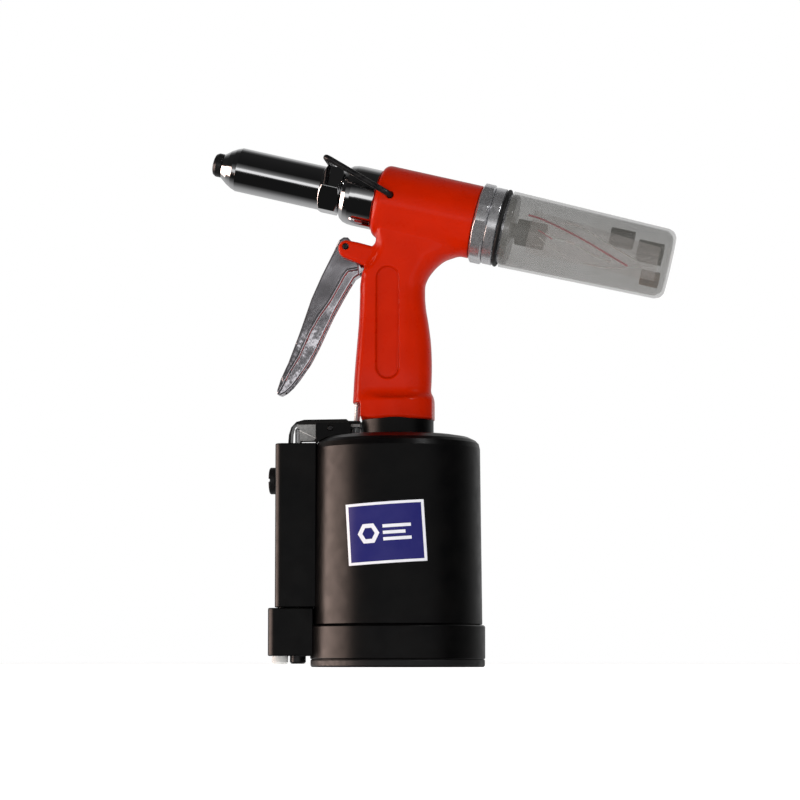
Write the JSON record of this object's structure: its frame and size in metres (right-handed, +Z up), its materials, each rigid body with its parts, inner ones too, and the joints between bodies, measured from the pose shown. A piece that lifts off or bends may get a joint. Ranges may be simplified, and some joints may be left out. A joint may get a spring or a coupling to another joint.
{
  "type": "pneumatic rivet gun",
  "caption": "Air-over-oil blind rivet gun: black air cylinder with side valve block, orange pistol handle, pull trigger, chromed nose and a frosted mandrel bottle.",
  "frame": {"origin": "centre of the underside of the foot pad, on the air cylinder's axis", "axes": "+Z up along the air cylinder, -X towards the nose, +X towards the mandrel bottle, +Y to the side with the oil screw"},
  "size_m": [0.2697, 0.1, 0.3016],
  "materials": {
    "orange_paint": "glossy baked enamel on an aluminium casting",
    "chrome": "polished chromium plate on steel",
    "steel": "machined steel",
    "dark_steel": "black oxide steel",
    "aluminium": "turned aluminium, satin",
    "black_anodised": "black hard-anodised aluminium, satin",
    "zinc_plate": "dull zinc-plated pressed steel",
    "rubber": "black nitrile rubber, matt",
    "frosted_plastic": "translucent frosted moulded plastic",
    "clear_film": "thin clear plastic bag, creased",
    "brass": "dulled copper alloy",
    "white_plastic": "sintered white plastic",
    "label_vinyl": "printed vinyl, blue with a white border"
  },
  "bodies": {
    "frame": {"nosepiece": "dark_steel", "nose_housing": "chrome", "frame_cap": "chrome", "rod_seal": "rubber", "handle_casting": "orange_paint", "oil_screw": "steel", "oil_screw_washer": "brass", "tail_nut": "aluminium", "collector_mount": "aluminium", "collector_seal": "rubber", "ram_seal": "rubber", "trigger_pin": "dark_steel", "lever_bracket": "black_anodised", "lever_pin": "dark_steel", "bracket_screw_1": "dark_steel", "bracket_screw_2": "dark_steel", "neck_collar": "black_anodised", "cylinder_body": "black_anodised", "piston_bumper": "rubber", "base_cover": "black_anodised", "base_seal": "rubber", "foot_pad": "rubber", "cover_screw_1": "dark_steel", "cover_screw_2": "dark_steel", "valve_plug": "dark_steel", "valve_spring": "steel", "muffler": "white_plastic", "inlet_fitting": "steel", "inlet_plug": "rubber", "label": "label_vinyl"},
    "trigger": {"trigger": "chrome"},
    "link": {"trigger_link": "steel", "link_nut": "steel"},
    "lever": {"valve_lever": "zinc_plate", "lever_cover": "black_anodised"},
    "spool": {"valve_spool": "steel", "spool_seal_1": "rubber", "spool_seal_2": "rubber"},
    "air_ram": {"ram": "steel", "air_piston": "aluminium", "air_piston_seal": "rubber", "piston_nut": "steel"},
    "puller": {"jaw_case": "steel", "jaw_spring": "steel", "pull_piston": "steel", "pull_piston_seal": "rubber", "guide_pipe": "dark_steel"},
    "pusher": {"jaw_pusher": "steel"},
    "jaw_1": {"jaw_1": "dark_steel"},
    "jaw_2": {"jaw_2": "dark_steel"},
    "jaw_3": {"jaw_3": "dark_steel"},
    "collector": {"collector_bottle": "frosted_plastic", "accessory_bag": "clear_film", "spare_nosepiece_1": "dark_steel", "spare_nosepiece_2": "dark_steel", "spare_nosepiece_3": "brass"},
    "bail": {"hanger_bail": "dark_steel"}
  },
  "joints": [
    {"name": "trigger_pull", "type": "hinge", "parent": "frame", "child": "trigger", "pos_m": [-0.0294, 0, 0.2416], "axis": [0, -1, 0], "range_deg": [0, 10], "stiffness_Nm_per_rad": 0.8, "springref_deg": -14.32},
    {"name": "link_slide", "type": "slide", "parent": "frame", "child": "link", "axis": [0.0735, 0, 0.9973], "range_m": [0, 0.0023]},
    {"name": "lever_tilt", "type": "hinge", "parent": "frame", "child": "lever", "pos_m": [-0.038, 0, 0.1365], "axis": [0, -1, 0], "range_deg": [0, 9.6]},
    {"name": "spool_slide", "type": "slide", "parent": "frame", "child": "spool", "axis": [0, 0, -1], "range_m": [0, 0.0035], "deforming": ["valve_spring"]},
    {"name": "ram_slide", "type": "slide", "parent": "frame", "child": "air_ram", "axis": [0, 0, 1], "range_m": [0, 0.0646]},
    {"name": "pull_slide", "type": "slide", "parent": "frame", "child": "puller", "axis": [0.9724, 0, -0.2334], "range_m": [0, 0.018]},
    {"name": "jaw_1_slide", "type": "slide", "parent": "puller", "child": "jaw_1", "axis": [-0.9021, 0, 0.4316], "range_m": [0, 0.0012]},
    {"name": "jaw_2_slide", "type": "slide", "parent": "puller", "child": "jaw_2", "axis": [-0.9753, -0.1811, 0.1266], "range_m": [0, 0.0012]},
    {"name": "jaw_3_slide", "type": "slide", "parent": "puller", "child": "jaw_3", "axis": [-0.9753, 0.1811, 0.1266], "range_m": [0, 0.0012]},
    {"name": "pusher_slide", "type": "slide", "parent": "puller", "child": "pusher", "axis": [-0.9724, 0, 0.2334], "range_m": [0, 0.0012]},
    {"name": "bottle_pull", "type": "slide", "parent": "frame", "child": "collector", "axis": [0.9724, 0, -0.2334], "range_m": [0, 0.006]},
    {"name": "bail_swing", "type": "hinge", "parent": "frame", "child": "bail", "pos_m": [-0.0025, 0, 0.26935], "axis": [0, 1, 0], "range_deg": [0, 130]}
  ],
  "couplings": [
    {"joint": "link_slide", "follows": "trigger_pull", "m_per_rad": 0.013},
    {"joint": "lever_tilt", "follows": "trigger_pull", "ratio": 0.95},
    {"joint": "spool_slide", "follows": "trigger_pull", "m_per_rad": 0.01948},
    {"joint": "pull_slide", "follows": "ram_slide", "ratio": 0.2784},
    {"joint": "jaw_1_slide", "follows": "ram_slide", "ratio": 0.0185},
    {"joint": "jaw_2_slide", "follows": "ram_slide", "ratio": 0.0185},
    {"joint": "jaw_3_slide", "follows": "ram_slide", "ratio": 0.0185},
    {"joint": "pusher_slide", "follows": "ram_slide", "ratio": 0.0181}
  ]
}
